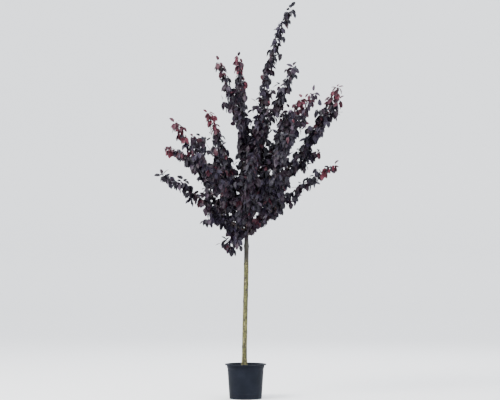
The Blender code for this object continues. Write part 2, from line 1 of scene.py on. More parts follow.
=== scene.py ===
"""The looks of a purple-leaved cherry plum in a round nursery pot.

Metres, +Z up, the origin in the middle of the ring that the pot stands on. +X is the side that the leader
leans to, and -Y is the front. The shoots follow the rule of the part's own solids, carried on to leaves.
"""

import math
import random
from collections import namedtuple

import bmesh
import bpy
import numpy as np
from mathutils import Euler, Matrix, Quaternion, Vector, noise


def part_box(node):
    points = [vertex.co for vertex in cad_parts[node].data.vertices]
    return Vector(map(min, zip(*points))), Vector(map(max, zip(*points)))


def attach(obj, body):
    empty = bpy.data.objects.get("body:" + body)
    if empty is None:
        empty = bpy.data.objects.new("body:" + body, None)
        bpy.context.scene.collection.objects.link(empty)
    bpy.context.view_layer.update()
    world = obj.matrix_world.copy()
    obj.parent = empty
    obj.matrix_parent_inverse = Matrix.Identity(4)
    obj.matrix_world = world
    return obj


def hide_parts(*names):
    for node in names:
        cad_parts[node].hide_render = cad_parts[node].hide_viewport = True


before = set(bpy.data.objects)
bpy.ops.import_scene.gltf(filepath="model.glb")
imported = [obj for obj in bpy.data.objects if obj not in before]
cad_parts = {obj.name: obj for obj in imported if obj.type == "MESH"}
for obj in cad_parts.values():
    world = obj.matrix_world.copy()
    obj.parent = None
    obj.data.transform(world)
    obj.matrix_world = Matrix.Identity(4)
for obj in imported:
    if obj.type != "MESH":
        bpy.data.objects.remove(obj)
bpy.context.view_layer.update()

# Camera
CAMERA_PLACE = (0.0402, -10.2, 1.003)
CAMERA_PITCH_UP = 4.545
CAMERA_LENS = 79.7

# Pot, as tall and as wide as the part's own. Inside the ring that it stands on, its underside is dished.
POT_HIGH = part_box("pot")[1]
POT_HEIGHT = POT_HIGH[2]
POT_RIM_RADIUS = POT_HIGH[0]
POT_DISH = 0.002
POT_DISH_RADIUS = 0.085
POT_RING_RADIUS = 0.088
POT_FOOT_RADIUS = 0.1475
POT_FOOT_ROUND = 0.004
POT_HEEL_HEIGHT = 0.02
POT_SHOULDER_HEIGHT = 0.272
POT_SHOULDER_RADIUS = 0.1665
POT_STEP = 0.004
POT_COLLAR_RADIUS = 0.174
POT_LIP_DROP = 0.010
POT_LIP_ROUND = 0.0014
POT_LIP_FOOT_ROUND = 0.0010
POT_LIP_INNER_ROUND = 0.0008
POT_CORNER_ROUND = 0.002
POT_WALL = 0.003
POT_FLOOR_RISE = 0.0005
POT_SIDES = 128
POT_SHARP_ANGLE = 38
POT_OVALITY = 0.004
POT_OVAL_TURN = 0.8
ROUND_STEPS = 4
DRAIN_HOLES = 8
DRAIN_RADIUS = 0.009
DRAIN_CIRCLE_RADIUS = 0.112
DRAIN_SIDES = 32

# Compost, its surface pressed level and strewn with bark crumbs. The mix of its lumps is (falloff, step in
# size, number of sizes).
SOIL_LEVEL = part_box("root_ball")[1][2]
SOIL_CLEARANCE = 0.0008
SOIL_SETTLED = 0.001
SOIL_RELIEF = 0.0035
SOIL_RELIEF_LIMIT = 0.004
SOIL_LUMPS = 26
SOIL_LUMP_SLICE = 3.0
SOIL_LUMP_MIX = (0.7, 2.2, 4)
SOIL_RINGS = 46
SOIL_SIDES = 120
SOIL_FOOT_Z = 0.2
SOIL_FOOT_SHARE = 0.93
CRUMBS = 900
CRUMB_SIZE = (0.002, 0.0075)
CRUMB_BREADTH = (0.4, 0.8)
CRUMB_THICKNESS = 0.3
CRUMB_WEAR = (0.7, 1.1)
CRUMB_TILT = 0.5
CRUMB_RISE = 0.1
CRUMB_MARGIN = 0.008
CRUMB_CORNERS = [(x, y, z) for z in (-1, 1) for x, y in ((-1, -1), (1, -1), (1, 1), (-1, 1))]
CRUMB_FACES = ((0, 3, 2, 1), (4, 5, 6, 7), (0, 1, 5, 4), (1, 2, 6, 5), (2, 3, 7, 6), (3, 0, 4, 7))

# Trunk: it leans a little to the right, and bulges at the graft
TRUNK_FOOT_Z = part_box("trunk")[0][2]
TRUNK_TOP_Z = 1.86
TRUNK_CAP_RISE = 0.006
TRUNK_FOOT_X = -0.011
TRUNK_GRAFT_X = 0.007
TRUNK_TOP_X = 0.004
TRUNK_FOOT_RADIUS = 0.0235
TRUNK_GRAFT_RADIUS = 0.0215
TRUNK_ABOVE_GRAFT_RADIUS = 0.0205
TRUNK_TOP_RADIUS = 0.0125
ROOT_FLARE = 0.010
ROOT_FLARE_HEIGHT = 0.035
GRAFT_Z = 1.388
GRAFT_BULGE = 0.0038
GRAFT_BULGE_HEIGHT = 0.022

# The bark's relief: pruning scars as (height, turn in degrees), corky spots, ripples and lobes at the foot
TRUNK_SIDES = 56
TRUNK_RING_STEP = 0.0045
SCARS = (
    (0.47, 200), (0.60, 20), (0.71, 250), (0.80, 335), (0.885, 215), (0.93, 30), (0.985, 290),
    (1.035, 352), (1.09, 240), (1.15, 330), (1.22, 205), (1.27, 75), (1.33, 310), (0.56, 130), (1.00, 110),
)
SCAR_SWELL = 0.0034
SCAR_SWELL_SPREAD = (0.7, 1.2)
SCAR_HEIGHT = 0.011
SCAR_WIDTH = 0.42
CORK_SPOTS = 420
CORK_HEIGHTS = (0.3, 1.8)
CORK_SWELL = 0.0006
CORK_SWELL_SPREAD = (0.5, 1.3)
CORK_HEIGHT = 0.0016
CORK_WIDTH = (0.08, 0.24)
RIPPLE = 0.0009
RIPPLES_AROUND = 1.6
RIPPLES_ALONG = 16
ROOT_LOBES = 5
ROOT_LOBE_SWELL = 0.004
ROOT_LOBE_TURN = 0.6

# Shoots, as in the part's source. Each leaves the trunk at a height, or the shoot that it forks from at a
# share of that shoot's length. Its tip is given by an azimuth in degrees from +X towards +Y, a reach from the
# pot's axis and a height, and its last stretch has a slope in degrees. A mass of foliage is a shoot from the
# trunk with its forks. Where a share of it is bough, that much of its foot is a limb of its own in the part.
Shoot = namedtuple("Shoot", "leaves at azimuth reach top slope bough", defaults=(0.0,))
SHOOTS = {
    "leader": Shoot("trunk", TRUNK_TOP_Z, 0, 0.42, 3.605, 58, bough=0.10),
    "leader_right": Shoot("leader", 0.26, 331, 0.49, 3.00, 72),
    "leader_back": Shoot("leader", 0.22, 50, 0.30, 2.80, 74),
    "tall_left": Shoot("trunk", 1.77, 100, 0.20, 3.00, 92, bough=0.16),
    "tall_left_outer": Shoot("tall_left", 0.50, 148, 0.30, 3.13, 62),
    "tall_left_front": Shoot("tall_left", 0.44, 256, 0.25, 3.085, 88),
    "back_right": Shoot("trunk", 1.70, 30, 0.61, 2.80, 66, bough=0.24),
    "back_right_fork": Shoot("back_right", 0.40, 48, 0.54, 2.68, 76),
    "far_back_right": Shoot("trunk", 1.62, 60, 0.71, 2.46, 62, bough=0.24),
    "front_right": Shoot("trunk", 1.74, 335, 0.68, 2.755, 62, bough=0.24),
    "front_right_fork": Shoot("front_right", 0.42, 322, 0.50, 2.60, 74),
    "near_front_right": Shoot("trunk", 1.60, 303, 0.70, 2.33, 56, bough=0.26),
    "right": Shoot("trunk", 1.64, 5, 0.86, 2.87, 70, bough=0.22),
    "right_prong": Shoot("right", 0.62, 358, 0.86, 2.73, 58),
    "right_low_fork": Shoot("right", 0.36, 15, 0.69, 2.28, 34),
    "low_right": Shoot("trunk", 1.53, 1, 0.81, 2.13, 20, bough=0.24),
    "left": Shoot("trunk", 1.62, 188, 0.65, 2.51, 62, bough=0.24),
    "left_inner": Shoot("left", 0.45, 176, 0.48, 2.40, 48),
    "left_outer": Shoot("left", 0.40, 172, 0.73, 2.30, 8),
    "low_left": Shoot("trunk", 1.52, 181, 0.765, 2.04, 22, bough=0.26),
    "steep_left": Shoot("trunk", 1.76, 209, 0.385, 2.585, 62, bough=0.24),
    "back_left": Shoot("trunk", 1.66, 138, 0.57, 2.45, 44, bough=0.26),
    "far_back_left": Shoot("back_left", 0.45, 116, 0.68, 2.38, 55),
    "front_left": Shoot("trunk", 1.68, 236, 0.69, 2.17, 46, bough=0.24),
    "front": Shoot("trunk", 1.54, 274, 0.76, 2.10, 32, bough=0.26),
    "back": Shoot("trunk", 1.56, 90, 0.78, 2.16, 38, bough=0.26),
    "lowest_left": Shoot("trunk", 1.47, 194, 0.37, 1.74, 50),
    "lowest_left_droop": Shoot("lowest_left", 0.34, 216, 0.17, 1.37, -68),
    "inner_front_left": Shoot("trunk", 1.58, 228, 0.46, 2.02, 48),
    "inner_front_right": Shoot("trunk", 1.475, 318, 0.50, 2.00, 44),
    "inner_back_right": Shoot("trunk", 1.48, 42, 0.50, 2.00, 44),
    "inner_back_left": Shoot("trunk", 1.49, 140, 0.48, 1.94, 40),
    "heart_front": Shoot("trunk", 1.80, 290, 0.28, 2.22, 62),
    "heart_right": Shoot("trunk", 1.78, 10, 0.26, 2.24, 62),
    "heart_back": Shoot("trunk", 1.81, 62, 0.28, 2.26, 62),
    "heart_left": Shoot("trunk", 1.74, 178, 0.30, 2.16, 60),
}
MASSES = [name for name, shoot in SHOOTS.items() if shoot.leaves == "trunk"]

# A shoot's curve: it leaves the trunk a little flatter than it goes on, and a fork first follows its parent
START_SLOPE_EASE = 6
START_SLOPE_LIMIT = 56
LEADER_START = (0.27, 0, 1)
FORK_FOLLOWS_PARENT = 0.45
START_HANDLE = 0.22
TIP_HANDLE = 0.30
SHOOT_STEPS = 64
HEADING_REACH = 0.02
ZIGZAG = 0.008
ZIGZAG_TURNS = 14
ZIGZAG_SHIFT = 50
ZIGZAG_AXES_APART = 9.0
TIP_GROWS_ON = 0.018

# A shoot's wood, with a collar at its foot and a swelling at each bud
BOUGH_FOOT_RADIUS = 0.0100
FORK_FOOT_RADIUS = 0.0046
SHOOT_TIP_RADIUS = 0.0013
SHOOT_TAPER = 0.8
COLLAR_SWELL = 0.45
COLLAR_LENGTH = 0.016
LEADER_SUNK = 0.03
NODE_SPACING = 0.021
NODE_SWELL = 0.16
NODE_SHARPNESS = 6
SHOOT_SIDES = 8
TWIG_SIDES = 5
TUBE_TIP_SHARE = 0.2

# Twigs and spurs. They and the leaves start a little before a bough ends. Twigs are long near a shoot's foot
# and short towards its tip, and carry spurs of their own.
LEAVES_EARLY = 0.04
LEAFLESS_SHARE_AT_TRUNK = 0.07
TWIG_SPACING = 0.108
TWIG_LENGTH = 0.21
TWIG_LENGTH_SPREAD = (0.55, 1.15)
TWIG_SHORTENING = 0.62
TWIG_LEAN = 42
TWIG_RISE = 0.35
TWIG_PARTS = 4
TWIG_LAST_SHARE = 0.74
TWIG_FOOT_RADIUS = 0.0024
TWIG_FOOT_SHARE = 0.8
TWIG_TIP_RADIUS = 0.0009
TWIG_BARE_SHARE = 0.15
SPUR_SPACING_ON_SHOOT = 0.036
SPUR_SPACING_ON_TWIG = 0.058
SPUR_PLACE_SPREAD = (0.2, 0.8)
SPUR_LENGTH = (0.012, 0.045)
SPUR_LEAN = 60
SPUR_RADII = (0.0016, 0.0013, 0.0010)
SPUR_LAST_SHARE = 0.985
SPUR_LAST_SHARE_ON_TWIG = 0.9
SPUR_LEAVES = (4, 6)
SPUR_LEAF_STEP = 0.16
SPUR_HEADING_AT = 0.8
TRIES = 4

# Leaves, on stalks that lean ahead and up. They hang, except the last ones, which stand up round the tip.
GOLDEN_ANGLE = 137.5
LEAF_LENGTH = 0.070
LEAF_WIDTH = 0.049
LEAF_SIZE_SPREAD = (0.72, 1.12)
LEAF_STALK = 0.015
STALK_RADIUS = 0.0006
STALK_CORNERS = ((1, 0), (-0.5, 0.87), (-0.5, -0.87))
STALK_SUNK = 0.004
STALK_AHEAD = 0.5
STALK_RISE = 0.25
LEAF_SPACING_ON_SHOOT = 0.0125
LEAF_SPACING_ON_TWIG = 0.022
LEAF_SHRINK_TO_TIP = 0.16
LEAF_DROP = (0.5, 2.3)
LEAF_AHEAD = 0.20
LEAF_AHEAD_AT_TIP = 0.55
LEAF_UPRIGHT_FROM = 0.97
LEAF_CLOSES_IN = 0.6
LEAF_FACES_OUT = 0.5
LEAF_ROLL = 60

# The blade: an egg shape that is 0.84 of the leaf's width at its widest, in forms of (curl, fold, wave). Its
# points are on rows across it, in columns at shares of the half width.
LEAF_ROWS = 7
LEAF_COLUMNS = (-1, -0.5, 0, 0.5, 1)
LEAF_BASE_POWER = 0.55
LEAF_TIP_POWER = 0.72
LEAF_OUTLINE_SCALE = 0.497
LEAF_WAVES = 17
LEAF_WAVE_SCALE = 0.06
LEAF_FORMS = ((0.10, 0.10, 0.006), (0.22, 0.16, 0.010), (0.34, 0.06, 0.008), (0.16, 0.24, 0.004))

# Kinds of leaf as (blade, vein) colours, which are plain and dealt out by spray, in shares given by the
# weights. Near the tips of some shoots the sprays are of younger kinds, most of them redder, and the red of
# the wine and red kinds is partly the leaves' own and partly painted backlight, light that shines through the
# leaves.
LEAF_COLOURS = {
    "ink": ((0.0050, 0.0034, 0.0088), (0.014, 0.008, 0.015)),
    "plum": ((0.0125, 0.0050, 0.0115), (0.030, 0.011, 0.020)),
    # The dusk kind: dark purple leaves whose bluish-grey cast is a painted sheen of the sky
    "dusk": ((0.0140, 0.0100, 0.0215), (0.032, 0.018, 0.032)),
    "mauve": ((0.0340, 0.0235, 0.0370), (0.062, 0.036, 0.052)),
    # wine and red: their bright red is partly the young leaves' own colour and partly painted backlight
    "wine": ((0.0420, 0.0095, 0.0175), (0.080, 0.023, 0.032)),
    "red": ((0.0880, 0.0150, 0.0270), (0.140, 0.034, 0.046)),
}
LEAF_KINDS = tuple(LEAF_COLOURS)
KIND_WEIGHTS = (42, 31, 18, 5, 4, 0)
LEAF_SHADES = (0.72, 1.32)
VEINS = 44.0
VEIN_SLANT = 0.45
YOUNG_FROM = 0.84
YOUNG_BLEND = 0.16
YOUNG_BACKLIT_KINDS = {
    "left_outer": ("red", "wine", "red"),
    "left": ("red", "wine", "wine"),
    "left_inner": ("wine", "mauve"),
    "steep_left": ("red", "red", "wine"),
    "tall_left": ("red", "wine", "plum"),
    "tall_left_outer": ("wine", "plum"),
    "tall_left_front": ("wine", "red", "plum"),
    "back_right": ("red", "wine"),
    "leader_back": ("wine", "red"),
    "front_right": ("mauve", "mauve", "wine"),
    "right": ("wine", "wine", "red"),
    "right_prong": ("wine", "mauve"),
    "low_right": ("wine", "red", "plum"),
    "right_low_fork": ("wine", "plum"),
}

# What the foliage leaves open: ovals at the trunk's depth for someone who looks up from the eye's place, as
# (x, z, half width, half height), and a cone under the crown that only the hanging mass reaches below
EYE = (0.04, -10.2, 1.0)
SKY_GAPS = (
    (-0.119, 2.39, 0.058, 0.120),
    (0.229, 2.092, 0.022, 0.070),
    (-0.338, 2.186, 0.050, 0.042),
    (-0.342, 2.326, 0.032, 0.045),
    (0.455, 1.962, 0.028, 0.037),
    (0.086, 3.012, 0.060, 0.200),
)
UNDERSIDE_Z = 1.45
UNDERSIDE_RISE = 0.60
HANGING_MASS = "lowest_left"
TRUNK_ROOM = 0.018

# Where the looks change with height, as (from, to)
# Grey-brown bark from here up: partly its own colour above the graft, partly painted shade of the crown
GREY_AND_SHADE_ABOVE = (1.20, 1.28)
# Painted shade of the crown on the trunk from here up
SHADED_ABOVE = (1.45, 1.62)
SPLASHED_BELOW = (0.0, 0.11)

# A mix node's places for its share and its two colours, and for the mixed colour
MIX_SHARE, MIX_FIRST, MIX_SECOND, MIX_RESULT = 0, 6, 7, 2

# Shapes that are turned or swept
MERGE_DISTANCE = 1e-5
MOSTLY_ALONG_Y = 0.9

# Studio
FLOOR_PROFILE = ((0, 0), (6, 0), (14, 0), (20, 0.4), (24, 2.2), (26, 6), (26.5, 12))
FLOOR_SIDES = 96
FLOOR_COLOUR = (0.90, 0.895, 0.88, 1)
LIGHTS = (
    ("key", (-5.5, -4.5, 7.0), 4.0, 1300, (1.0, 0.98, 0.95)),
    ("fill", (6.0, -7.0, 4.0), 6.0, 260, (0.93, 0.96, 1.0)),
    ("back", (2.0, 6.0, 7.0), 5.0, 380, (0.95, 0.97, 1.0)),
)
LIT_PLACE = (0, 0, 1.9)
SKY_COLOUR = (0.88, 0.92, 1.0, 1)
SKY_STRENGTH = 2.3


# Meshes


class Pile:
    """The points and faces of one piece, as they gather."""

    def __init__(self):
        self.points = []
        self.faces = []
        self.marks = []
        self.count = 0

    def add(self, points, *blocks, marks=None):
        """More points, with blocks of faces; the faces of one block have the same number of corners."""
        self.points.append(np.asarray(points, dtype=float))
        for block in blocks:
            self.faces.append(np.asarray(block, dtype=int) + self.count)
        if marks is not None:
            self.marks.append(marks)
        self.count += len(points)

    def mesh(self, name):
        """All of it as one mesh; the marks, if there are any, become its UV map."""
        points = np.concatenate(self.points)
        corners = [face for block in self.faces for face in block.tolist()]
        made = bpy.data.meshes.new(name)
        made.from_pydata(points.tolist(), [], corners)
        if self.marks:
            marks = np.concatenate(self.marks)
            corner_points = np.empty(len(made.loops), dtype=int)
            made.loops.foreach_get("vertex_index", corner_points)
            layer = made.uv_layers.new(name="surface")
            layer.data.foreach_set("uv", marks[corner_points].ravel())
        made.shade_smooth()
        return made


def add_object(name, data):
    """An object in the scene, with its mesh, light or camera."""
    made = bpy.data.objects.new(name, data)
    bpy.context.scene.collection.objects.link(made)
    return made


def add_piece(name, mesh, look, nodes):
    """A finished piece: its look, its place on the body, and the nodes that it stands for."""
    piece = add_object(name, mesh)
    mesh.materials.append(look)
    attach(piece, "root")
    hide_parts(*nodes)
    return piece


def smooth_step(value):
    value = min(max(value, 0.0), 1.0)
    return value * value * (3 - 2 * value)


def square_to(direction):
    """Two unit vectors square to a direction and to each other."""
    helper = Vector((0, 1, 0)) if abs(direction.y) < MOSTLY_ALONG_Y else Vector((1, 0, 0))
    first = direction.cross(helper).normalized()
    return first, direction.cross(first).normalized()


def outward(heading, turn):
    """The unit vector square to a heading, at a turn in degrees round it."""
    first, second = square_to(heading)
    return first * math.cos(math.radians(turn)) + second * math.sin(math.radians(turn))


def grid_faces(rows, columns):
    """The faces of rows of points that close round on themselves."""
    faces = []
    for row in range(rows - 1):
        for column in range(columns):
            after = (column + 1) % columns
            low, high = row * columns, (row + 1) * columns
            faces.append((low + column, low + after, high + after, high + column))
    return faces


def add_tube(pile, path, radii, sides):
    """A tapering tube along a path, which ends almost in a point."""
    last = len(path) - 1
    side = square_to((path[1] - path[0]).normalized())[0]
    points = []
    for k, (centre, radius) in enumerate(zip(path, radii)):
        heading = (path[min(k + 1, last)] - path[max(k - 1, 0)]).normalized()
        side = (side - heading * side.dot(heading)).normalized()
        other = heading.cross(side)
        if k == last:
            radius = radius * TUBE_TIP_SHARE
        for corner in range(sides):
            turn = math.tau * corner / sides
            points.append(centre + radius * (math.cos(turn) * side + math.sin(turn) * other))
    pile.add(points, grid_faces(len(path), sides))


# Materials


class Look:
    """A material with one shader, and the nodes that feed it."""

    def __init__(self, name, roughness, specular):
        self.material = bpy.data.materials.new(name)
        self.material.use_nodes = True
        self.tree = self.material.node_tree
        self.give("Roughness", roughness)
        self.give("Specular IOR Level", specular)

    def give(self, name, value):
        """Gives the shader one input."""
        self.feed(self.tree.nodes["Principled BSDF"], {name: value})

    def feed(self, node, values):
        """Gives a node's inputs, each by its name or place, a socket to follow or a plain value."""
        for key, value in values.items():
            if isinstance(value, bpy.types.NodeSocket):
                self.tree.links.new(value, node.inputs[key])
            else:
                node.inputs[key].default_value = value

    def node(self, kind, values=()):
        made = self.tree.nodes.new(kind)
        self.feed(made, dict(values))
        return made

    def place(self, scale):
        """The surface's own place, stretched by a scale along each axis."""
        place = self.node("ShaderNodeTexCoord").outputs["Object"]
        return self.node("ShaderNodeMapping", {"Scale": scale, "Vector": place}).outputs["Vector"]

    def noise(self, vector, scale, detail=4.0, roughness=0.55):
        values = {"Vector": vector, "Scale": scale, "Detail": detail, "Roughness": roughness}
        return self.node("ShaderNodeTexNoise", values).outputs["Fac"]

    def ramp(self, value, *stops):
        """A colour ramp over a value, from its (place, colour) stops."""
        made = self.node("ShaderNodeValToRGB", {"Fac": value})
        stretch = made.color_ramp
        for place, _ in stops[2:]:
            stretch.elements.new(place)
        for element, (place, colour) in zip(stretch.elements, stops):
            element.position = place
            element.color = (*colour, 1)
        return made.outputs["Color"]

    def mix(self, share, first, second, blend="MIX"):
        """A mix of a colour with a second one, which may be a plain colour, by a share."""
        made = self.tree.nodes.new("ShaderNodeMix")
        made.data_type = "RGBA"
        made.blend_type = blend
        second = (*second, 1) if isinstance(second, tuple) else second
        self.feed(made, {MIX_SHARE: share, MIX_FIRST: first, MIX_SECOND: second})
        return made.outputs[MIX_RESULT]

    def maths(self, operation, *values):
        """The result of one operation on sockets or numbers."""
        made = self.tree.nodes.new("ShaderNodeMath")
        made.operation = operation
        self.feed(made, dict(enumerate(values)))
        return made.outputs["Value"]

    def marks(self):
        """The two numbers that a mesh's own UV map gives."""
        place = self.node("ShaderNodeUVMap")
        place.uv_map = "surface"
        parts = self.node("ShaderNodeSeparateXYZ", {"Vector": place.outputs["UV"]})
        return parts.outputs["X"], parts.outputs["Y"]

    def height_share(self, low, high):
        """0 below one height and 1 above another."""
        place = self.node("ShaderNodeTexCoord").outputs["Object"]
        height = self.node("ShaderNodeSeparateXYZ", {"Vector": place}).outputs["Z"]
        made = self.node("ShaderNodeMapRange", {"Value": height, "From Min": low, "From Max": high})
        made.interpolation_type = "SMOOTHSTEP"
        return made.outputs["Result"]

    def bump(self, height, distance, strength=1.0):
        values = {"Height": height, "Distance": distance, "Strength": strength}
        self.give("Normal", self.node("ShaderNodeBump", values).outputs["Normal"])


def trunk_look():
    """Olive bark with buff patches and dark corky spots; grey-brown from a little below the graft up, partly
    the bark's own colour and partly painted shade of the crown, and near black higher up with painted shade
    of the crown.
    """
    look = Look("trunk_bark", roughness=0.72, specular=0.35)
    upright = look.place((1, 1, 0.22))
    level = look.place((1, 1, 1.3))
    patches = look.noise(upright, scale=46)
    olive = look.ramp(
        patches, (0.32, (0.030, 0.029, 0.009)), (0.46, (0.070, 0.072, 0.018)),
        (0.56, (0.118, 0.114, 0.036)), (0.70, (0.300, 0.260, 0.140)),
    )
    grey = look.ramp(
        patches, (0.30, (0.012, 0.011, 0.009)), (0.55, (0.027, 0.027, 0.021)), (0.75, (0.060, 0.057, 0.045)),
    )
    # Partly painted shade: from here up the bark turns grey-brown, partly its own colour above the graft,
    # partly the crown's shade
    above_graft = look.height_share(*GREY_AND_SHADE_ABOVE)
    base = look.mix(above_graft, olive, grey)
    # Painted shade: the bark is darkened towards near black under the crown
    in_shade = look.height_share(*SHADED_ABOVE)
    base = look.mix(in_shade, base, (0.014, 0.010, 0.011))
    spots = look.noise(level, scale=62, detail=2.0)
    spot_share = look.ramp(spots, (0.50, (0, 0, 0)), (0.56, (0.9, 0.9, 0.9)))
    base = look.mix(spot_share, base, (0.024, 0.017, 0.010))
    scarred = look.marks()[0]
    scar_share = look.ramp(scarred, (0.18, (0, 0, 0)), (0.55, (0.95, 0.95, 0.95)))
    look.give("Base Color", look.mix(scar_share, base, (0.020, 0.014, 0.010)))
    grain = look.noise(upright, scale=210, detail=6.0, roughness=0.65)
    look.bump(look.mix(0.5, grain, spots), distance=0.0012)
    return look.material


def shoot_look():
    """Young purple-brown bark with a dull shine and pale pores."""
    look = Look("bough_bark", roughness=0.55, specular=0.45)
    upright = look.place((1, 1, 0.4))
    even = look.place((1, 1, 1))
    streaks = look.noise(upright, scale=90)
    base = look.ramp(
        streaks, (0.30, (0.020, 0.011, 0.012)), (0.55, (0.045, 0.026, 0.026)), (0.78, (0.085, 0.060, 0.052)),
    )
    pores = look.noise(even, scale=420, detail=1.0)
    pore_share = look.ramp(pores, (0.66, (0, 0, 0)), (0.70, (1, 1, 1)))
    look.give("Base Color", look.mix(pore_share, base, (0.20, 0.16, 0.12)))
    look.bump(streaks, distance=0.0006)
    return look.material


def pot_look():
    """Blown dark plastic with a film of dust, paler where splashes dried near its foot."""
    look = Look("pot_plastic", roughness=0.5, specular=0.06)
    even = look.place((1, 1, 1))
    dust = look.noise(even, scale=9, detail=6.0, roughness=0.6)
    base = look.ramp(
        dust, (0.30, (0.0045, 0.0058, 0.0095)), (0.55, (0.0070, 0.0088, 0.0140)),
        (0.80, (0.0120, 0.0145, 0.0215)),
    )
    specks = look.noise(even, scale=130, detail=3.0)
    speck_share = look.ramp(specks, (0.58, (0, 0, 0)), (0.74, (0.42, 0.42, 0.42)))
    near_foot = look.ramp(look.height_share(*SPLASHED_BELOW), (0.0, (1, 1, 1)), (1.0, (0.10, 0.10, 0.10)))
    dusted = look.mix(1.0, speck_share, near_foot, "MULTIPLY")
    look.give("Base Color", look.mix(dusted, base, (0.060, 0.058, 0.056)))
    matt = look.node("ShaderNodeMapRange", {"Value": dust, "To Min": 0.40, "To Max": 0.66})
    look.give("Roughness", matt.outputs["Result"])
    grain = look.noise(even, scale=260, detail=3.0)
    look.bump(grain, distance=0.0003)
    return look.material


def compost_look():
    """Dark bark compost, crumbly, with a dry grey bloom on top."""
    look = Look("potting_compost", roughness=0.95, specular=0.2)
    even = look.place((1, 1, 1))
    clods = look.noise(even, scale=120, detail=8.0, roughness=0.7)
    base = look.ramp(
        clods, (0.30, (0.012, 0.008, 0.006)), (0.52, (0.040, 0.027, 0.018)),
        (0.66, (0.090, 0.066, 0.045)), (0.80, (0.160, 0.130, 0.100)),
    )
    look.give("Base Color", base)
    look.bump(clods, distance=0.004)
    return look.material


def leaf_look(name, colour, vein_colour):
    """One kind of leaf: a colour that varies a little from leaf to leaf, with a paler rib and fine veins."""
    look = Look(f"leaves_{name}", roughness=0.46, specular=0.27)
    single = look.node("ShaderNodeNewGeometry").outputs["Random Per Island"]
    dark, light = (tuple(share * part for part in colour) for share in LEAF_SHADES)
    shade = look.ramp(single, (0.0, dark), (1.0, light))
    across, forward = look.marks()
    off_rib = look.maths("ABSOLUTE", across)
    rib_share = look.ramp(off_rib, (0.03, (0.8, 0.8, 0.8)), (0.09, (0, 0, 0)))
    look.give("Base Color", look.mix(rib_share, shade, vein_colour))
    # Side veins run forward from the rib to the edge
    slant = look.maths("MULTIPLY_ADD", off_rib, -VEIN_SLANT, forward)
    wave = look.maths("SINE", look.maths("MULTIPLY", slant, VEINS))
    look.bump(wave, distance=0.0004, strength=0.7)
    return look.material


# Pot and compost


def pot_wall_radius(height):
    share = height / POT_SHOULDER_HEIGHT
    return POT_FOOT_RADIUS + (POT_SHOULDER_RADIUS - POT_FOOT_RADIUS) * share


def rounded(corners):
    """A profile through corners of (radius, height, round); a corner with a round becomes a small arc."""
    places = [Vector(corner[:2]) for corner in corners]
    made = [places[0]]
    for before, place, after, (_, _, arc) in zip(places, places[1:], places[2:], corners[1:]):
        if not arc:
            made.append(place)
            continue
        start = place + (before - place).normalized() * arc
        end = place + (after - place).normalized() * arc
        for k in range(ROUND_STEPS + 1):
            t = k / ROUND_STEPS
            made.append(start * (1 - t) ** 2 + place * 2 * t * (1 - t) + end * t * t)
    made.append(places[-1])
    return made


def pot_profile():
    """From the middle of the underside out, up to the lip, and down the inside to the floor's middle."""
    lip_bottom = POT_HEIGHT - POT_LIP_DROP
    collar_top = POT_HEIGHT - POT_WALL
    lip_inner = POT_RIM_RADIUS - POT_WALL
    step_radius = POT_SHOULDER_RADIUS + POT_STEP
    step_height = POT_SHOULDER_HEIGHT + POT_STEP
    return rounded([
        (0, POT_DISH, 0),
        (POT_DISH_RADIUS, POT_DISH, POT_CORNER_ROUND),
        (POT_RING_RADIUS, 0, POT_CORNER_ROUND),
        (POT_FOOT_RADIUS, 0, POT_FOOT_ROUND),
        (pot_wall_radius(POT_HEEL_HEIGHT), POT_HEEL_HEIGHT, POT_CORNER_ROUND),
        (POT_SHOULDER_RADIUS, POT_SHOULDER_HEIGHT, POT_CORNER_ROUND),
        (step_radius, step_height, POT_CORNER_ROUND),
        (POT_COLLAR_RADIUS, collar_top, POT_CORNER_ROUND),
        (lip_inner, collar_top, POT_LIP_FOOT_ROUND),
        (lip_inner, lip_bottom, POT_LIP_INNER_ROUND),
        (POT_RIM_RADIUS, lip_bottom, POT_LIP_FOOT_ROUND),
        (POT_RIM_RADIUS, POT_HEIGHT, POT_LIP_ROUND),
        (POT_COLLAR_RADIUS - POT_WALL, POT_HEIGHT, POT_LIP_ROUND),
        (step_radius - POT_WALL, step_height, POT_CORNER_ROUND),
        (POT_SHOULDER_RADIUS - POT_WALL, POT_SHOULDER_HEIGHT, POT_CORNER_ROUND),
        (pot_wall_radius(POT_WALL) - POT_WALL, POT_WALL, POT_CORNER_ROUND),
        (0, POT_WALL + POT_FLOOR_RISE, 0),
    ])


def finished_mesh(name, shape):
    """A mesh that takes over a bmesh."""
    made = bpy.data.meshes.new(name)
    shape.to_mesh(made)
    shape.free()
    return made


def turned_mesh(name, profile, sides):
    """A profile of (radius, height) points, turned round the Z axis."""
    shape = bmesh.new()
    points = [shape.verts.new((radius, 0, height)) for radius, height in profile]
    edges = [shape.edges.new(pair) for pair in zip(points, points[1:])]
    bmesh.ops.spin(
        shape, geom=points + edges, axis=(0, 0, 1), angle=math.tau, steps=sides, use_merge=True
    )
    bmesh.ops.remove_doubles(shape, verts=shape.verts, dist=MERGE_DISTANCE)
    bmesh.ops.recalc_face_normals(shape, faces=shape.faces)
    return finished_mesh(name, shape)


def drill_mesh():
    """A ring of short rods, one for each drain hole."""
    shape = bmesh.new()
    rod = {"segments": DRAIN_SIDES, "radius1": DRAIN_RADIUS, "radius2": DRAIN_RADIUS, "depth": 4 * POT_WALL}
    for k in range(DRAIN_HOLES):
        made = bmesh.ops.create_cone(shape, cap_ends=True, **rod)
        turn = math.tau * (k + 0.5) / DRAIN_HOLES
        place = Vector((math.cos(turn), math.sin(turn), 0)) * DRAIN_CIRCLE_RADIUS
        bmesh.ops.translate(shape, verts=made["verts"], vec=place)
    return finished_mesh("drain_drill", shape)


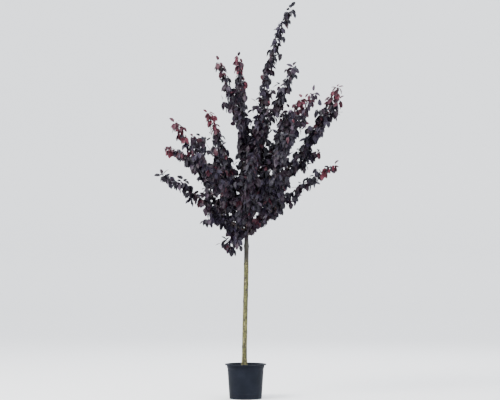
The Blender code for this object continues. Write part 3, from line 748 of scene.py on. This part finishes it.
def make_pot():
    """The pot with its drain holes, a hair out of round towards its rim."""
    shell = turned_mesh("pot_shell", pot_profile(), POT_SIDES)
    pot = add_piece("pot_shell", shell, pot_look(), ["pot"])
    drill = add_object("drain_drill", drill_mesh())
    cut = pot.modifiers.new("cut", "BOOLEAN")
    cut.operation = "DIFFERENCE"
    cut.object = drill
    cut.solver = "EXACT"
    bpy.context.view_layer.update()
    graph = bpy.context.evaluated_depsgraph_get()
    drilled = bpy.data.meshes.new_from_object(pot.evaluated_get(graph))
    pot.modifiers.clear()
    pot.data = drilled
    bpy.data.objects.remove(drill)
    for point in drilled.vertices:
        turn = math.atan2(point.co.y, point.co.x)
        share = smooth_step(point.co.z / POT_HEIGHT)
        pull = 1 - POT_OVALITY * share * (0.5 + 0.5 * math.sin(2 * turn + POT_OVAL_TURN))
        point.co.x *= pull
        point.co.y *= pull
    drilled.shade_smooth()
    drilled.set_sharp_from_angle(angle=math.radians(POT_SHARP_ANGLE))


def make_compost():
    """A closed body of compost: its top is uneven and its sides stay inside the wall."""
    pile = Pile()
    top_radius = POT_SHOULDER_RADIUS + POT_STEP - POT_WALL - SOIL_CLEARANCE
    points = []
    for ring in range(1, SOIL_RINGS + 1):
        radius = top_radius * ring / SOIL_RINGS
        for k in range(SOIL_SIDES):
            turn = math.tau * k / SOIL_SIDES
            x, y = radius * math.cos(turn), radius * math.sin(turn)
            lump = noise.fractal((x * SOIL_LUMPS, y * SOIL_LUMPS, SOIL_LUMP_SLICE), *SOIL_LUMP_MIX)
            relief = min(lump * SOIL_RELIEF, SOIL_RELIEF_LIMIT)
            points.append((x, y, SOIL_LEVEL - SOIL_SETTLED + relief))
    points += [(SOIL_FOOT_SHARE * x, SOIL_FOOT_SHARE * y, SOIL_FOOT_Z) for x, y, _ in points[-SOIL_SIDES:]]
    top, foot = len(points), len(points) + 1
    foot_ring = top - SOIL_SIDES
    points += [(0, 0, points[0][2]), (0, 0, SOIL_FOOT_Z)]
    pairs = [(k, (k + 1) % SOIL_SIDES) for k in range(SOIL_SIDES)]
    ends = [(top, k, after) for k, after in pairs]
    ends += [(foot, foot_ring + after, foot_ring + k) for k, after in pairs]
    pile.add(points, np.array(grid_faces(SOIL_RINGS + 1, SOIL_SIDES))[:, ::-1], ends)
    chance = random.Random("crumbs")
    for _ in range(CRUMBS):
        radius = math.sqrt(chance.random()) * (top_radius - CRUMB_MARGIN)
        turn = chance.uniform(0, math.tau)
        size = chance.uniform(*CRUMB_SIZE)
        place = Vector((radius * math.cos(turn), radius * math.sin(turn), SOIL_LEVEL + CRUMB_RISE * size))
        add_crumb(pile, place, size, chance)
    add_piece("compost", pile.mesh("compost"), compost_look(), ["root_ball"])


def add_crumb(pile, place, size, chance):
    """A flat chip of bark, like a brick with uneven corners."""
    tilts = [chance.uniform(-CRUMB_TILT, CRUMB_TILT), chance.uniform(-CRUMB_TILT, CRUMB_TILT)]
    turn = Euler([*tilts, chance.uniform(0, math.tau)])
    halves = Vector((size, size * chance.uniform(*CRUMB_BREADTH), size * CRUMB_THICKNESS)) / 2
    points = []
    for x, y, z in CRUMB_CORNERS:
        corner = Vector((x * halves.x, y * halves.y, z * halves.z)) * chance.uniform(*CRUMB_WEAR)
        corner.rotate(turn)
        points.append(place + corner)
    pile.add(points, CRUMB_FACES)


# Trunk


def trunk_centre(height):
    up = (height - TRUNK_FOOT_Z) / (GRAFT_Z - TRUNK_FOOT_Z)
    on = (height - GRAFT_Z) / (TRUNK_TOP_Z - GRAFT_Z)
    x = TRUNK_FOOT_X + (TRUNK_GRAFT_X - TRUNK_FOOT_X) * smooth_step(up)
    x += (TRUNK_TOP_X - TRUNK_GRAFT_X) * smooth_step(on)
    return Vector((x, 0, height))


def trunk_radius(height):
    above_graft = height - GRAFT_Z
    if above_graft < 0:
        up = (height - TRUNK_FOOT_Z) / (GRAFT_Z - TRUNK_FOOT_Z)
        radius = TRUNK_FOOT_RADIUS + (TRUNK_GRAFT_RADIUS - TRUNK_FOOT_RADIUS) * up
    else:
        on = above_graft / (TRUNK_TOP_Z - GRAFT_Z)
        radius = TRUNK_ABOVE_GRAFT_RADIUS + (TRUNK_TOP_RADIUS - TRUNK_ABOVE_GRAFT_RADIUS) * on
        step = TRUNK_GRAFT_RADIUS - TRUNK_ABOVE_GRAFT_RADIUS
        radius += step * math.exp(-above_graft / GRAFT_BULGE_HEIGHT)
    flare = ROOT_FLARE * math.exp(-(height - TRUNK_FOOT_Z) / ROOT_FLARE_HEIGHT)
    bulge = GRAFT_BULGE * math.exp(-((above_graft / GRAFT_BULGE_HEIGHT) ** 2))
    return radius + flare + bulge


def swellings(heights, turns, places, swell, height, width):
    """The relief of many small swellings on the trunk, each at a height and a turn."""
    relief = np.zeros((len(heights), len(turns)))
    for place_z, place_turn, part_swell, part_width in places:
        up = (heights[:, None] - place_z) / height
        around = np.angle(np.exp(1j * (turns[None, :] - place_turn))) / (part_width * width)
        relief += swell * part_swell * np.exp(-(up**2) - around**2)
    return relief


def make_trunk():
    """The trunk's bark in relief; its UV map's first number says how much of a scar a place is."""
    heights = np.arange(TRUNK_FOOT_Z, TRUNK_TOP_Z + TRUNK_RING_STEP, TRUNK_RING_STEP)
    turns = np.arange(TRUNK_SIDES) * math.tau / TRUNK_SIDES
    chance = random.Random("bark")
    scars = [(z, math.radians(turn), chance.uniform(*SCAR_SWELL_SPREAD), 1.0) for z, turn in SCARS]
    spreads = (CORK_HEIGHTS, (0, math.tau), CORK_SWELL_SPREAD, CORK_WIDTH)
    spots = [[chance.uniform(*spread) for spread in spreads] for _ in range(CORK_SPOTS)]
    relief = swellings(heights, turns, scars, SCAR_SWELL, SCAR_HEIGHT, SCAR_WIDTH)
    scarred = np.clip(relief / SCAR_SWELL, 0, 1)
    relief += swellings(heights, turns, spots, CORK_SWELL, CORK_HEIGHT, 1.0)
    lobes = 0.5 + 0.5 * np.cos(ROOT_LOBES * turns + ROOT_LOBE_TURN)
    fading = np.exp(-(heights[:, None] - TRUNK_FOOT_Z) / ROOT_FLARE_HEIGHT)
    relief += ROOT_LOBE_SWELL * fading * lobes[None, :]
    points = []
    for row, height in enumerate(heights):
        centre, radius = trunk_centre(height), trunk_radius(height)
        for column, turn in enumerate(turns):
            out = Vector((math.cos(turn), math.sin(turn), 0))
            place = (out.x * RIPPLES_AROUND, out.y * RIPPLES_AROUND, height * RIPPLES_ALONG)
            ripple = noise.noise(place) * RIPPLE
            points.append(centre + out * (radius + relief[row, column] + ripple))
    top, top_ring = len(points), len(points) - TRUNK_SIDES
    points.append(trunk_centre(TRUNK_TOP_Z) + Vector((0, 0, TRUNK_CAP_RISE)))
    cap = [(top_ring + k, top_ring + (k + 1) % TRUNK_SIDES, top) for k in range(TRUNK_SIDES)]
    marks = np.zeros((len(points), 2))
    marks[:-1, 0] = scarred.ravel()
    pile = Pile()
    pile.add(points, grid_faces(len(heights), TRUNK_SIDES), cap, marks=marks)
    add_piece("trunk_with_bark", pile.mesh("trunk_with_bark"), trunk_look(), ["trunk"])


# Shoots


def slope_vector(azimuth, slope):
    """The unit vector that points along an azimuth at a slope, both in degrees."""
    turn, rise = math.radians(azimuth), math.radians(slope)
    return Vector((math.cos(turn) * math.cos(rise), math.sin(turn) * math.cos(rise), math.sin(rise)))


def bezier(a, b, c, d, t):
    return a * (1 - t) ** 3 + b * 3 * t * (1 - t) ** 2 + c * 3 * t * t * (1 - t) + d * t**3


def along(line, share):
    """The point at a share of a line, which is a list of points at even shares of a curve."""
    place = min(max(share, 0.0), 1.0) * (len(line) - 1)
    k = min(int(place), len(line) - 2)
    return line[k].lerp(line[k + 1], place - k)


def heading_at(line, share):
    return (along(line, share + HEADING_REACH) - along(line, share - HEADING_REACH)).normalized()


def line_length(line):
    return sum((b - a).length for a, b in zip(line, line[1:]))


def shoot_tip(shoot):
    turn = math.radians(shoot.azimuth)
    return Vector((shoot.reach * math.cos(turn), shoot.reach * math.sin(turn), shoot.top))


def start_direction(name, chord, lines):
    """Which way a shoot leaves the trunk, or the shoot that it forks from."""
    shoot = SHOOTS[name]
    if name == "leader":
        return Vector(LEADER_START).normalized()
    if shoot.leaves == "trunk":
        azimuth = math.degrees(math.atan2(chord.y, chord.x))
        slope = math.degrees(math.asin(chord.z / chord.length))
        return slope_vector(azimuth, min(slope - START_SLOPE_EASE, START_SLOPE_LIMIT))
    parent = heading_at(lines[shoot.leaves], shoot.at)
    return chord.normalized().lerp(parent, FORK_FOLLOWS_PARENT).normalized()


def make_lines():
    """Each shoot's line, in the table's order, with a slight zigzag from bud to bud."""
    lines = {}
    for name, shoot in SHOOTS.items():
        foot = trunk_centre(shoot.at) if shoot.leaves == "trunk" else along(lines[shoot.leaves], shoot.at)
        tip = shoot_tip(shoot)
        chord = tip - foot
        start = start_direction(name, chord, lines)
        end = slope_vector(math.degrees(math.atan2(chord.y, chord.x)), shoot.slope)
        tip += end * TIP_GROWS_ON
        after_foot = foot + start * chord.length * START_HANDLE
        before_tip = tip - end * chord.length * TIP_HANDLE
        shift = random.Random(name).uniform(0, ZIGZAG_SHIFT)
        line = []
        for k in range(SHOOT_STEPS + 1):
            share = k / SHOOT_STEPS
            places = [(share * ZIGZAG_TURNS, shift, ZIGZAG_AXES_APART * axis) for axis in range(3)]
            wander = Vector([noise.noise(place) for place in places])
            ends_fixed = math.sqrt(math.sin(math.pi * share))
            line.append(bezier(foot, after_foot, before_tip, tip, share) + wander * ZIGZAG * ends_fixed)
        lines[name] = line
    return lines


def shoot_radius(name, share):
    foot = BOUGH_FOOT_RADIUS if SHOOTS[name].bough else FORK_FOOT_RADIUS
    return foot + (SHOOT_TIP_RADIUS - foot) * share**SHOOT_TAPER


def mass_of(name):
    """The shoot from the trunk that a shoot belongs to."""
    while SHOOTS[name].leaves != "trunk":
        name = SHOOTS[name].leaves
    return name


def add_shoot_wood(pile, name, line):
    """A shoot's bark: a swollen collar at its foot, and a small swelling at each bud."""
    length = line_length(line)
    radii = []
    for k in range(len(line)):
        share = k / (len(line) - 1)
        far = share * length
        collar = COLLAR_SWELL * math.exp(-far / COLLAR_LENGTH)
        bud = NODE_SWELL * max(0.0, math.cos(math.tau * far / NODE_SPACING)) ** NODE_SHARPNESS
        radii.append(shoot_radius(name, share) * (1 + collar + bud))
    path = list(line)
    if name == "leader":
        path[0] = path[0] - Vector((0, 0, LEADER_SUNK))
    add_tube(pile, path, radii, SHOOT_SIDES)


# Room for leaves and twigs


def in_gap(point):
    """Whether a point stands in the way of a gap, seen from the eye's place."""
    grow = EYE[1] / (EYE[1] - point.y)
    x = EYE[0] + (point.x - EYE[0]) * grow
    z = EYE[2] + (point.z - EYE[2]) * grow
    return any(
        math.hypot((x - gap_x) / half_x, (z - gap_z) / half_z) < 1
        for gap_x, gap_z, half_x, half_z in SKY_GAPS
    )


def has_room(mass, point):
    """Whether a mass may reach a point: above the underside, clear of the trunk and out of the gaps."""
    far_out = math.hypot(point.x, point.y)
    if mass != HANGING_MASS and point.z < UNDERSIDE_Z + UNDERSIDE_RISE * far_out:
        return False
    if point.z < TRUNK_TOP_Z and far_out < TRUNK_ROOM:
        return False
    return not in_gap(point)


# Crown


def leaf_size(share, chance):
    """A leaf's size at a share of its shoot, where 1 is full size."""
    return chance.uniform(*LEAF_SIZE_SPREAD) * (1 - LEAF_SHRINK_TO_TIP * share)


class Crown:
    """Gathers every leaf by kind, and the wood of each mass."""

    def __init__(self, lines):
        self.lines = lines
        self.leaves = {kind: [] for kind in LEAF_KINDS}
        self.wood = {mass: Pile() for mass in MASSES}

    def add_leaf(self, mass, kind, point, heading, turn, upright, size, chance):
        """A leaf on its stalk, which hangs outwards, or stands up where it is young."""
        for _ in range(TRIES):
            out = outward(heading, turn)
            stalk = (out + heading * STALK_AHEAD + Vector((0, 0, STALK_RISE))).normalized()
            ahead = LEAF_AHEAD + (LEAF_AHEAD_AT_TIP - LEAF_AHEAD) * upright
            drop = chance.uniform(*LEAF_DROP) * (1 - upright)
            spread = 1 - LEAF_CLOSES_IN * upright
            direction = (out * spread + heading * ahead - Vector((0, 0, drop))).normalized()
            root = point + stalk * LEAF_STALK * size
            tip = root + direction * LEAF_LENGTH * size
            if has_room(mass, tip) and has_room(mass, root):
                face = Vector((0, 0, 1)) + out * LEAF_FACES_OUT
                face = (face - direction * face.dot(direction)).normalized()
                face = Quaternion(direction, math.radians(chance.uniform(-LEAF_ROLL, LEAF_ROLL))) @ face
                self.leaves[kind].append((*point, *root, *direction, *face, size))
                return
            turn += 90

    def kind_for(self, name, share, chance):
        """The kind of a spray at a share of a shoot: younger near the tips of some shoots, where the redder
        kinds also carry painted backlight.
        """
        young_backlit = YOUNG_BACKLIT_KINDS.get(name)
        if young_backlit and chance.random() < smooth_step((share - YOUNG_FROM + YOUNG_BLEND / 2) / YOUNG_BLEND):
            return chance.choice(young_backlit)
        return chance.choices(LEAF_KINDS, KIND_WEIGHTS)[0]

    def add_leaves(self, mass, name, line, spacing, first, reach, chance):
        """Leaves at even steps along a line, turning by the golden angle.

        The line is a shoot, or a twig that leaves its shoot at the share given as its reach.
        """
        count = max(2, round(line_length(line) * (1 - first) / spacing))
        turn = chance.uniform(0, 360)
        for k in range(count):
            share = first + (1 - first) * (k + 1) / count
            turn += GOLDEN_ANGLE
            shoot_share = share if reach is None else reach
            kind = self.kind_for(name, shoot_share, chance)
            upright = smooth_step((share - LEAF_UPRIGHT_FROM) / (1 - LEAF_UPRIGHT_FROM))
            size = leaf_size(shoot_share, chance)
            heading = heading_at(line, share)
            self.add_leaf(mass, kind, along(line, share), heading, turn, upright, size, chance)

    def side_line(self, line, share, turn, length, lean):
        """A twig that leans out of a line and bends up."""
        heading = heading_at(line, share)
        out = outward(heading, turn)
        start = heading * math.cos(math.radians(lean)) + out * math.sin(math.radians(lean))
        made = [along(line, share)]
        for k in range(TWIG_PARTS):
            rise = TWIG_RISE * k / (TWIG_PARTS - 1)
            made.append(made[-1] + (start + Vector((0, 0, rise))).normalized() * length / TWIG_PARTS)
        return made

    def add_spurs(self, mass, name, line, first, last, reach, chance):
        """Short spurs with tubes of three points, which each carry a spray of leaves of one kind."""
        spacing = SPUR_SPACING_ON_SHOOT if reach is None else SPUR_SPACING_ON_TWIG
        count = round(line_length(line) * (last - first) / spacing)
        turn = chance.uniform(0, 360)
        for k in range(count):
            share = first + (last - first) * (k + chance.uniform(*SPUR_PLACE_SPREAD)) / count
            shoot_share = share if reach is None else reach
            turn += GOLDEN_ANGLE
            spur = self.side_line(line, share, turn, chance.uniform(*SPUR_LENGTH), SPUR_LEAN)
            if not has_room(mass, spur[-1]):
                continue
            add_tube(self.wood[mass], spur[::2], SPUR_RADII, TWIG_SIDES)
            kind = self.kind_for(name, shoot_share, chance)
            leaf_turn = chance.uniform(0, 360)
            heading = heading_at(spur, SPUR_HEADING_AT)
            for part in range(chance.randint(*SPUR_LEAVES)):
                leaf_turn += GOLDEN_ANGLE
                size = leaf_size(shoot_share, chance)
                point = along(spur, 1 - SPUR_LEAF_STEP * part)
                self.add_leaf(mass, kind, point, heading, leaf_turn, 0.0, size, chance)

    def add_twigs(self, mass, name, line, first, chance):
        """Twigs where there is room for them, with their leaves and spurs."""
        count = round(line_length(line) * (TWIG_LAST_SHARE - first) / TWIG_SPACING)
        turn = chance.uniform(0, 360)
        for k in range(count):
            share = first + (TWIG_LAST_SHARE - first) * (k + 0.5) / count
            length = TWIG_LENGTH * (1 - TWIG_SHORTENING * share) * chance.uniform(*TWIG_LENGTH_SPREAD)
            for _ in range(TRIES):
                turn += GOLDEN_ANGLE
                twig = self.side_line(line, share, turn, length, TWIG_LEAN)
                if all(has_room(mass, point) for point in twig[1:]):
                    foot = min(TWIG_FOOT_RADIUS, TWIG_FOOT_SHARE * shoot_radius(name, share))
                    taper = (TWIG_TIP_RADIUS - foot) / TWIG_PARTS
                    radii = [foot + taper * part for part in range(TWIG_PARTS + 1)]
                    add_tube(self.wood[mass], twig, radii, TWIG_SIDES)
                    self.add_leaves(mass, name, twig, LEAF_SPACING_ON_TWIG, TWIG_BARE_SHARE, share, chance)
                    self.add_spurs(mass, name, twig, TWIG_BARE_SHARE, SPUR_LAST_SHARE_ON_TWIG, share, chance)
                    break

    def add_shoot(self, name):
        """One shoot with all that grows on it."""
        mass = mass_of(name)
        line = self.lines[name]
        chance = random.Random(name)
        first = SHOOTS[name].bough - LEAVES_EARLY
        if name == mass and not SHOOTS[name].bough:
            first = LEAFLESS_SHARE_AT_TRUNK
        add_shoot_wood(self.wood[mass], name, line)
        self.add_twigs(mass, name, line, first, chance)
        self.add_spurs(mass, name, line, first, SPUR_LAST_SHARE, None, chance)
        self.add_leaves(mass, name, line, LEAF_SPACING_ON_SHOOT, first, None, chance)


def leaf_form(curl, fold, wave):
    """A blade's points as (across, along, up) in shares of its length, with its faces and its marks."""
    width = len(LEAF_COLUMNS)
    points, marks = [(0, 0, 0)], [(0, 0)]
    for row in range(1, LEAF_ROWS - 1):
        t = row / (LEAF_ROWS - 1)
        outline = t**LEAF_BASE_POWER * (1 - t) ** LEAF_TIP_POWER / LEAF_OUTLINE_SCALE
        half = LEAF_WIDTH / LEAF_LENGTH / 2 * outline
        for column in LEAF_COLUMNS:
            ripple = wave * math.sin(t * LEAF_WAVES + column) * abs(column) / LEAF_WAVE_SCALE
            up = fold * half * 2 * abs(column) - curl * t * t + ripple * half
            points.append((column * half, t, up))
            marks.append((column, t))
    tip = len(points)
    last_row = tip - width
    points.append((0, 1, -curl))
    marks.append((0, 1))
    quads = []
    for row in range(LEAF_ROWS - 3):
        for column in range(width - 1):
            low = 1 + row * width + column
            quads.append((low, low + 1, low + width + 1, low + width))
    ends = [(0, column + 2, column + 1) for column in range(width - 1)]
    ends += [(last_row + column, last_row + column + 1, tip) for column in range(width - 1)]
    return np.array(points), np.array(quads), np.array(ends), np.array(marks)


def leaf_pile(leaves):
    """All the leaves of one kind with their stalks, from rows of point, root, direction, face and size."""
    rows = np.array(leaves)
    foot, root, direction, face = (rows[:, k:k + 3] for k in (0, 3, 6, 9))
    size = rows[:, 12]
    wing = np.cross(direction, face)
    pile = Pile()
    for k, form in enumerate(LEAF_FORMS):
        pick = slice(k, None, len(LEAF_FORMS))
        shape, quads, ends, marks = leaf_form(*form)
        count = len(rows[pick])
        axes = np.stack([wing[pick], direction[pick], face[pick]], axis=1)
        placed = np.einsum("pa,nax->npx", shape, axes) * (LEAF_LENGTH * size[pick])[:, None, None]
        placed += root[pick][:, None, :]
        starts = np.arange(count)[:, None, None] * len(shape)
        blocks = (quads[None] + starts).reshape(-1, 4), (ends[None] + starts).reshape(-1, 3)
        pile.add(placed.reshape(-1, 3), *blocks, marks=np.tile(marks, (count, 1)))
    corners = np.stack([a * wing + b * face for a, b in STALK_CORNERS], axis=1) * STALK_RADIUS
    sunk = root[:, None] + direction[:, None] * STALK_SUNK
    stalks = np.concatenate([foot[:, None] + corners, sunk + corners], axis=1)
    sides = np.array(grid_faces(2, len(STALK_CORNERS)))
    starts = np.arange(len(rows))[:, None, None] * stalks.shape[1]
    marks = np.zeros((len(rows) * stalks.shape[1], 2))
    pile.add(stalks.reshape(-1, 3), (sides[None] + starts).reshape(-1, 4), marks=marks)
    return pile


def make_crown():
    """All the wood, a piece for each mass, and all the leaves, a piece for each kind."""
    crown = Crown(make_lines())
    for name in SHOOTS:
        crown.add_shoot(name)
    bark = shoot_look()
    for mass in MASSES:
        nodes = [f"foliage_{mass}"] + ([f"bough_{mass}"] if SHOOTS[mass].bough else [])
        add_piece(f"shoots_{mass}", crown.wood[mass].mesh(f"shoots_{mass}"), bark, nodes)
    masses = [f"foliage_{mass}" for mass in MASSES]
    for kind, (colour, vein_colour) in LEAF_COLOURS.items():
        mesh = leaf_pile(crown.leaves[kind]).mesh(f"leaves_{kind}")
        add_piece(f"leaves_{kind}", mesh, leaf_look(kind, colour, vein_colour), masses)


# Studio


def make_floor():
    """A plain pale floor that rises into a backdrop far out on all sides."""
    mesh = turned_mesh("floor", FLOOR_PROFILE, FLOOR_SIDES)
    mesh.shade_smooth()
    look = Look("floor", roughness=0.9, specular=0.1)
    look.give("Base Color", FLOOR_COLOUR)
    mesh.materials.append(look.material)
    floor = add_object("floor", mesh)


def add_area_light(name, place, size, power, colour):
    light = bpy.data.lights.new(name, "AREA")
    light.size = size
    light.energy = power
    light.color = colour
    lamp = add_object(name, light)
    lamp.location = place
    lamp.rotation_euler = (Vector(LIT_PLACE) - Vector(place)).to_track_quat("-Z", "Y").to_euler()


def make_lights():
    for light in LIGHTS:
        add_area_light(*light)
    world = bpy.data.worlds.new("studio")
    world.use_nodes = True
    sky = world.node_tree.nodes["Background"]
    sky.inputs["Color"].default_value = SKY_COLOUR
    sky.inputs["Strength"].default_value = SKY_STRENGTH
    bpy.context.scene.world = world


def make_camera():
    camera = add_object("camera", bpy.data.cameras.new("camera"))
    camera.data.lens = CAMERA_LENS
    camera.location = CAMERA_PLACE
    camera.rotation_euler = (math.radians(90 + CAMERA_PITCH_UP), 0, 0)
    bpy.context.scene.camera = camera


make_camera()
make_pot()
make_compost()
make_trunk()
make_crown()
make_floor()
make_lights()
